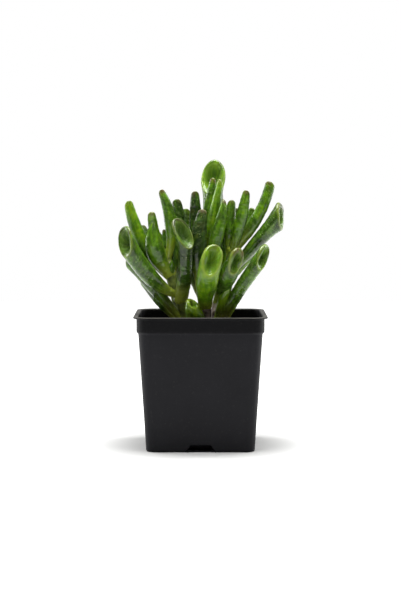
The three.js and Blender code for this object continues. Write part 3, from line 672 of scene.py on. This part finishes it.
def leaf_material(settings):
    """Fleshy waxy leaf. The flesh lets a little light in under the skin, a thin coat of wax gives sharp
    pale lines along the edges, and the skin is finely creased across the leaf."""
    material, node, feed_shader = new_material(
        "fleshy waxy leaf", IOR=1.42, Specular_IOR_Level=0.12, Subsurface_Weight=0.05,
        Subsurface_Scale=0.0012, Subsurface_Radius=(0.8, 1.0, 0.2), Coat_Roughness=0.1, Coat_IOR=1.45,
    )
    along, rim, cup, tip, shade, blush = (
        node("Attribute", out="Fac", attribute_name=key)
        for key in ("along", "rim", "cup", "tip", "shade", "blush")
    )
    skin = node("Attribute", out="Vector", attribute_name="skin")

    # skin is in millimetres: blotches 7 mm across, and streaks 2 mm wide and 10 mm long
    blotch = node("TexNoise", {"Vector": skin, "Scale": 0.15, "Detail": 4.0})
    drawn = node("Mapping", {"Vector": skin, "Scale": (0.5, 0.5, 0.1)})
    streak = node("TexNoise", {"Vector": drawn, "Scale": 1.0, "Detail": 2.0})
    level = node("Math", {0: blotch, 1: 1.4, 2: shade}, operation="MULTIPLY_ADD")
    level = node("Math", {0: streak, 1: 0.8, 2: level}, operation="MULTIPLY_ADD")
    level = node("Math", {0: level, 1: 1.05}, operation="SUBTRACT")
    colour = node(
        "ValToRGB", {"Fac": level},
        [(0.0, settings.young), (0.35, settings.grown), (0.7, settings.old), (1.0, settings.oldest)],
    )

    # olive brown stains 4 mm across where the sun has reached the skin
    stain = node("TexNoise", {"Vector": skin, "Scale": 0.26, "Detail": 3.0})
    stain = node("MapRange", {"Value": stain, "From Min": 0.52, "From Max": 0.74, "To Max": 0.22})

    # towards the root the green is paler and yellower; the paleness is partly the leaf's own colour and partly
    # painted light on the lower leaf, which sits in shade
    low = node(
        "MapRange", {"Value": along, "From Min": 0.46, "From Max": 0.06, "To Max": 0.85},
        interpolation_type="SMOOTHSTEP",
    )
    for share, over in ((stain, "#6c6a1c"), (low, settings.root)):
        colour = node("Mix", {0: share, 6: colour, 7: rgba(over)}, out=2, data_type="RGBA")

    # the bowl of the mouth: olive just inside the rim, then painted shade that darkens it towards the middle
    bowl = node("ValToRGB", {"Fac": cup}, [(0.12, settings.bowl), (0.45, "#46641e"), (0.8, "#2c4712")])
    bowl = node("Mix", {0: 0.55, 6: bowl, 7: colour}, out=2, data_type="RGBA")
    # painted shade: the cup's colour turns to the darker bowl ramp inside the rim
    inside = node("Math", {0: cup, 1: 12.0}, operation="MULTIPLY", use_clamp=True)
    colour = node("Mix", {0: inside, 6: colour, 7: bowl}, out=2, data_type="RGBA")

    wax = node(
        "MapRange", {"Value": cup, "From Min": 0.05, "From Max": 0.3, "To Min": 0.75, "To Max": 0.05})

    # the rim is pale olive, and its top and the closed tips turn purplish brown in the sun
    sun = node("Math", {0: tip, 1: blush}, operation="MULTIPLY")
    patch = node("MapRange", {"Value": streak, "From Min": 0.3, "From Max": 0.62, "To Min": 0.25})
    sun = node("Math", {0: sun, 1: patch}, operation="MULTIPLY")

    # pale water pores 0.6 mm across and about 2.6 mm apart, plainest on the old leaves
    pore = node("TexVoronoi", {"Vector": skin, "Scale": 0.38})
    pore = node("MapRange", {"Value": pore, "From Min": 0.14, "From Max": 0.06})
    pale = node("Math", {0: shade, 1: 0.8}, operation="MULTIPLY")
    pale = node("Math", {0: pore, 1: pale}, operation="MULTIPLY")

    # creases across the leaf, 1.2 mm apart along it and 3.5 mm long round it, deeper on the old leaves, with a
    # painted highlight that makes the ridges between them a little paler, and a grit of 0.8 mm
    crossed = node("Mapping", {"Vector": skin, "Scale": (0.28, 0.28, 0.8)})
    crease = node(
        "TexNoise", {"Vector": crossed, "Scale": 1.0, "Detail": 3.0, "Roughness": 0.6, "Distortion": 0.5}
    )
    # painted highlight: the crease ridges are mixed towards a paler green
    ridge = node("MapRange", {"Value": crease, "From Min": 0.5, "From Max": 0.7, "To Max": 0.16})
    for share, over in ((rim, settings.rim), (sun, settings.tip), (pale, "#a9bb74"), (ridge, "#9bb070")):
        colour = node("Mix", {0: share, 6: colour, 7: rgba(over)}, out=2, data_type="RGBA")
    depth = node("Math", {0: shade, 1: 0.9, 2: 0.25}, operation="MULTIPLY_ADD")
    crease = node("Math", {0: crease, 1: depth}, operation="MULTIPLY")
    grit = node("TexNoise", {"Vector": skin, "Scale": 1.2, "Detail": 2.0})
    height = node("Math", {0: grit, 1: 0.4, 2: crease}, operation="MULTIPLY_ADD")
    bump = node("Bump", {"Height": height, "Strength": 0.9, "Distance": 0.0008})
    gloss = node("MapRange", {"Value": blotch, "To Min": 0.34, "To Max": 0.5})
    feed_shader({"Base Color": colour, "Roughness": gloss, "Coat Weight": wax, "Normal": bump})
    return material


def stem_material(settings):
    """Succulent stem. Green skin near the leaves that corks over to grey-brown below, matt and finely
    ringed, and darker at the leaf scars."""
    material, node, feed_shader = new_material("corking succulent stem", IOR=1.45, Roughness=0.62)
    ridge, rough, along = (
        node("Attribute", out="Fac", attribute_name=key) for key in ("rim", "shade", "along")
    )
    skin = node("Attribute", out="Vector", attribute_name="skin")
    fleck = node("TexNoise", {"Vector": skin, "Scale": 0.6, "Detail": 4.0})
    level = node("Math", {0: rough, 1: 0.6, 2: fleck}, operation="MULTIPLY_ADD")
    young, cork = (
        node("ValToRGB", {"Fac": level}, [(0.35, dark), (0.75, middle), (1.0, pale)])
        for dark, middle, pale in (("#465214", settings.stem, "#7c8a3c"), ("#5c4c40", settings.cork, "#c4b8ac"))
    )
    corked = node("MapRange", {"Value": along, "From Min": 1.15, "From Max": 0.9})
    colour = node("Mix", {0: corked, 6: young, 7: cork}, out=2, data_type="RGBA")
    scar = node("Math", {0: ridge, 1: 0.25}, operation="MULTIPLY")
    colour = node("Mix", {0: scar, 6: colour, 7: rgba("#3f3a1c")}, out=2, data_type="RGBA")
    # rings 0.7 mm apart round the stem
    ringed = node("Mapping", {"Vector": skin, "Scale": (0.2, 0.2, 1.5)})
    rings = node("TexNoise", {"Vector": ringed, "Scale": 1.0, "Detail": 4.0})
    bump = node("Bump", {"Height": rings, "Strength": 0.5, "Distance": 0.0003})
    feed_shader({"Base Color": colour, "Normal": bump})
    return material


def pot_material(settings):
    """Injection-moulded polypropylene, carbon black. Satin from the mould's spark texture, with cloudy
    gloss marks and a little dust."""
    material, node, feed_shader = new_material(
        "injection-moulded polypropylene", IOR=1.49, Specular_IOR_Level=0.1)
    place = node("TexCoord", out="Object")
    # object coordinates are metres: clouds 25 mm across, dust flecks 1.5 mm, spark texture 0.35 mm
    cloud = node("TexNoise", {"Vector": place, "Scale": 40.0, "Detail": 4.0})
    dust = node("TexNoise", {"Vector": place, "Scale": 650.0, "Detail": 3.0})
    dust = node("MapRange", {"Value": dust, "From Min": 0.6, "From Max": 0.82, "To Max": 0.1})
    # the lip's top is paler, mixed towards the dust's grey-brown
    lip = node("Attribute", out="Fac", attribute_name="lip")
    dust = node("Math", {0: lip, 1: 0.42, 2: dust}, operation="MULTIPLY_ADD")
    spark = node("TexNoise", {"Vector": place, "Scale": 2800.0, "Detail": 1.0})
    # the collar is darker than the wall under it by painted shade, and the dust lies on both
    collar = node("Attribute", out="Fac", attribute_name="collar")
    colour = rgba(settings.plastic)
    for share, over in ((cloud, "#222225"), (collar, "#0d0d0f"), (dust, "#5f5d57")):
        colour = node("Mix", {0: share, 6: colour, 7: rgba(over)}, out=2, data_type="RGBA")
    gloss = node("MapRange", {"Value": cloud, "To Min": 0.46, "To Max": 0.62})
    bump = node("Bump", {"Height": spark, "Strength": 0.25, "Distance": 0.00008})
    feed_shader({"Base Color": colour, "Roughness": gloss, "Normal": bump})
    return material


def mix_material():
    """Peat-based potting mix. Dark matt crumbs, red-brown bark and white perlite beads."""
    material, node, feed_shader = new_material("peat and bark potting mix", IOR=1.45, Roughness=0.9)
    grain = node("Attribute", out="Fac", attribute_name="grain")
    place = node("TexCoord", out="Object")
    # crumbs 1.2 mm across
    crumb = node("TexNoise", {"Vector": place, "Scale": 800.0, "Detail": 5.0, "Roughness": 0.65})
    fine = node("MapRange", {"Value": crumb, "To Min": -0.125, "To Max": 0.125})
    level = node("Math", {0: grain, 1: fine}, operation="ADD")
    colour = node("ValToRGB", {"Fac": level}, [
        (0.0, "#1a120c"), (0.45, "#33251a"), (0.72, "#5a3f2a"), (0.86, "#6b5340"), (0.93, "#c9c4ba"),
    ])
    bump = node("Bump", {"Height": crumb, "Strength": 1.0, "Distance": 0.0006})
    feed_shader({"Base Color": colour, "Normal": bump})
    return material


# ---- settings


def choice(kind, name, description, default, **limits):
    """A property with its name in the panel, its description and its default."""
    return kind(name=name, description=description, default=default, **limits)


def colour_choice(name, description, code):
    """A colour property whose default is an sRGB hex value."""
    return choice(FloatVectorProperty, name, description, linear(code), subtype="COLOR")


class JadePlantSettings(bpy.types.PropertyGroup):
    """What a user would change about the plant."""

    young: colour_choice("Young leaf", "Green of the newest leaves", "#749804")
    grown: colour_choice("Grown leaf", "Green of full-grown leaves", "#4e7804")
    old: colour_choice("Old leaf", "Green of old leaves", "#2e4e03")
    oldest: colour_choice("Shaded leaf", "Green of the darkest leaves", "#182d02")
    # the leaf root's pale green is partly painted light on the shaded lower leaves
    root: colour_choice("Leaf root", "Paler green where a leaf joins its stem", "#a2b03c")
    rim: colour_choice("Rim", "Olive of the rim round each mouth", "#8c9d3e")
    bowl: colour_choice("Bowl", "Olive green just inside the rim", "#5f7c28")
    tip: colour_choice("Tip", "Purplish brown of sunned tips", "#654632")
    stem: colour_choice("Stem", "Green of the young stems", "#657426")
    cork: colour_choice("Cork", "Grey-brown of the old foot of a stem", "#a39388")
    around: choice(IntProperty, "Points round a leaf", "Grid points round each leaf", 48, min=12, max=64)
    gap: choice(
        FloatProperty, "Ring spacing", "Distance between grid rings on a leaf", 0.00065,
        unit="LENGTH", min=0.0003, max=0.01)
    seed: choice(IntProperty, "Seed", "Seed of the small unevenness", 11)


class JadePotSettings(bpy.types.PropertyGroup):
    """What a user would change about the pot and its mix."""

    plastic: colour_choice("Plastic", "Colour of the pot", "#17171a")
    crumbs: choice(IntProperty, "Crumbs", "Loose crumbs on the mix", 900, min=0, max=3000)
    seed: choice(IntProperty, "Seed", "Seed of the mix", 5)


class JadeStageSettings(bpy.types.PropertyGroup):
    """What a user would change about the stage."""

    camera_back: choice(
        FloatProperty, "Camera distance", "From the pot's middle to the camera", 1.112, unit="LENGTH")
    camera_up: choice(
        FloatProperty, "Camera height", "Height of the camera over the floor", 0.1735, unit="LENGTH")
    camera_down: choice(
        FloatProperty, "Camera pitch", "How far the camera looks down", math.radians(3.8), subtype="ANGLE")
    lens: choice(FloatProperty, "Lens", "Focal length in millimetres", 96.98)
    floor: colour_choice("Floor", "Colour of the floor", "#b4b4b3")
    top_power: choice(FloatProperty, "Top light", "Power of the overhead softbox", 32.0, unit="POWER")
    side_power: choice(FloatProperty, "Side lights", "Power of each side softbox", 5.5, unit="POWER")


# ---- operators


class JADE_OT_stage(bpy.types.Operator):
    """Makes the floor, the soft lights, the pale surroundings and the camera"""

    bl_idname = "jade.stage"
    bl_label = "Stage"

    def execute(self, context):
        settings = context.scene.jade_stage
        scene = context.scene
        camera = bpy.data.objects.new("camera", bpy.data.cameras.new("camera"))
        camera.data.lens = settings.lens
        camera.data.sensor_width = 36.0
        camera.data.clip_start = 0.01
        camera.location = (0, -settings.camera_back, settings.camera_up)
        camera.rotation_euler = (math.pi / 2 - settings.camera_down, 0, 0)
        scene.collection.objects.link(camera)
        scene.camera = camera
        scene.view_settings.view_transform = "Standard"

        # a disc 1.5 m in radius and 1 mm thick
        th = np.linspace(0, 2 * np.pi, 96, endpoint=False)
        radius, level = np.array([(300, 0), (900, 0), (1500, 0), (1500, -1.0)]).T[..., None]
        rows = round_axis(radius, th, level)
        material, node, feed_shader = new_material(
            "matt white studio floor", Roughness=0.95, Specular_IOR_Level=0.1)
        # the floor glows more and more from 45 mm out, so that it runs into the pale surroundings
        place = node("TexCoord", out="Object")
        away = node("VectorMath", {0: place}, out="Value", operation="LENGTH")
        glow = node(
            "MapRange", {"Value": away, "From Min": 0.045, "From Max": 0.13, "To Max": 0.9},
            interpolation_type="SMOOTHSTEP",
        )
        feed_shader({"Base Color": rgba(settings.floor), "Emission Color": WHITE, "Emission Strength": glow})
        floor = put_mesh("studio_floor", [closed_tube(rows, (0, 0, 0), (0, 0, -1), {})], [material])

        lights = (
            ("top_softbox", settings.top_power, (0, -0.05, 1.2), (0.04, 0, 0), 0.8, 0.8),
            ("left_softbox", settings.side_power, (-0.8, 0.4, 0.4), (0, -math.pi / 2, 0), 0.9, 0.15),
            ("right_softbox", settings.side_power, (0.8, 0.4, 0.4), (0, math.pi / 2, 0), 0.9, 0.15),
        )
        for name, power, place, turn, wide, high in lights:
            lamp = bpy.data.lights.new(name, "AREA")
            lamp.shape = "RECTANGLE"
            lamp.size, lamp.size_y = wide, high
            lamp.energy = power
            light = bpy.data.objects.new(name, lamp)
            light.location, light.rotation_euler = place, turn
            light.visible_camera = False
            scene.collection.objects.link(light)

        # surroundings: plain white to look at; as light, strongest behind and dim in front
        world = bpy.data.worlds.new("pale studio")
        world.use_nodes = True
        tree = world.node_tree
        node = partial(add_node, tree)
        way = node("TexCoord", out="Generated")
        depth = node("SeparateXYZ", {0: way}, out="Y")
        amount = node(
            "MapRange",
            {"Value": depth, "From Min": -0.9, "From Max": 1.0, "To Min": 0.06, "To Max": 0.8},
            interpolation_type="SMOOTHSTEP",
        )
        feed(tree, tree.nodes["Background"], {"Color": WHITE, "Strength": amount})
        seen = node("Background", {"Color": WHITE, "Strength": 1.0})
        straight = node("LightPath", out="Is Camera Ray")
        both = node("MixShader", {0: straight, 1: tree.nodes["Background"].outputs[0], 2: seen})
        feed(tree, tree.nodes["World Output"], {"Surface": both})
        scene.world = world
        return {"FINISHED"}


class JADE_OT_pot(bpy.types.Operator):
    """Makes the square nursery pot, with its collar, lip, foot notches and drain holes"""

    bl_idname = "jade.pot"
    bl_label = "Nursery Pot"

    def execute(self, context):
        piece = put_mesh("nursery_pot", [pot_part()], [pot_material(context.scene.jade_pot)])
        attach(piece, "root")
        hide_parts("pot")
        return {"FINISHED"}


class JADE_OT_mix(bpy.types.Operator):
    """Makes the potting mix and the loose crumbs on it"""

    bl_idname = "jade.mix"
    bl_label = "Potting Mix"

    def execute(self, context):
        settings = context.scene.jade_pot
        rng = np.random.default_rng(settings.seed)
        material = mix_material()
        bed = put_mesh("potting_mix_bed", [mix_part(rng)], [material])
        crumbs = put_mesh("potting_mix_crumbs", [crumb_parts(rng, settings.crumbs)], [material])
        for piece in (bed, crumbs):
            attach(piece, "root")
        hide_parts("soil")
        return {"FINISHED"}


class JADE_OT_shoots(bpy.types.Operator):
    """Makes the five leafy shoots: their stems and every leaf"""

    bl_idname = "jade.shoots"
    bl_label = "Leafy Shoots"

    def execute(self, context):
        settings = context.scene.jade_plant
        materials = [leaf_material(settings), stem_material(settings)]
        for number, (name, branches) in enumerate(SHOOTS.items()):
            rng = np.random.default_rng([settings.seed, number])
            parts = []
            for branch in branches:
                parts.append(stem_part(branch["stem"], branch.get("cork", CORKED), rng, 32, 64))
                line = middle_line(branch["stem"], 80)
                for row in branch["leaves"]:
                    root = [np.interp(row[0], line[:, 2], line[:, k]) for k in range(3)]
                    parts.append(leaf_part(row, root, rng, settings.around, settings.gap / MM))
            piece = put_mesh(name.replace("_shoot", "_leafy_shoot"), parts, materials)
            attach(piece, "root")
            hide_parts(name)
        return {"FINISHED"}


class JADE_PT_panel(bpy.types.Panel):
    """Lists the pieces and their settings"""

    bl_label = "Trumpet Jade"
    bl_idname = "JADE_PT_panel"
    bl_space_type = "VIEW_3D"
    bl_region_type = "UI"
    bl_category = "Trumpet Jade"

    def draw(self, context):
        layout = self.layout
        for title, group, operators in (
            ("Plant", context.scene.jade_plant, (JADE_OT_shoots,)),
            ("Pot", context.scene.jade_pot, (JADE_OT_pot, JADE_OT_mix)),
            ("Stage", context.scene.jade_stage, (JADE_OT_stage,)),
        ):
            box = layout.box()
            box.label(text=title)
            for key in group.__annotations__:
                box.prop(group, key)
            for operator in operators:
                box.operator(operator.bl_idname)


SETTINGS = {"jade_plant": JadePlantSettings, "jade_pot": JadePotSettings, "jade_stage": JadeStageSettings}
CLASSES = (*SETTINGS.values(), JADE_OT_stage, JADE_OT_pot, JADE_OT_mix, JADE_OT_shoots, JADE_PT_panel)


def register():
    for each in CLASSES:
        bpy.utils.register_class(each)
    for key, group in SETTINGS.items():
        setattr(bpy.types.Scene, key, PointerProperty(type=group))


def unregister():
    for key in SETTINGS:
        delattr(bpy.types.Scene, key)
    for each in reversed(CLASSES):
        bpy.utils.unregister_class(each)


def main():
    """Registers the classes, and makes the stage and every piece."""
    register()
    bpy.ops.jade.stage()
    bpy.ops.jade.pot()
    bpy.ops.jade.mix()
    bpy.ops.jade.shoots()


if __name__ == "__main__":
    main()
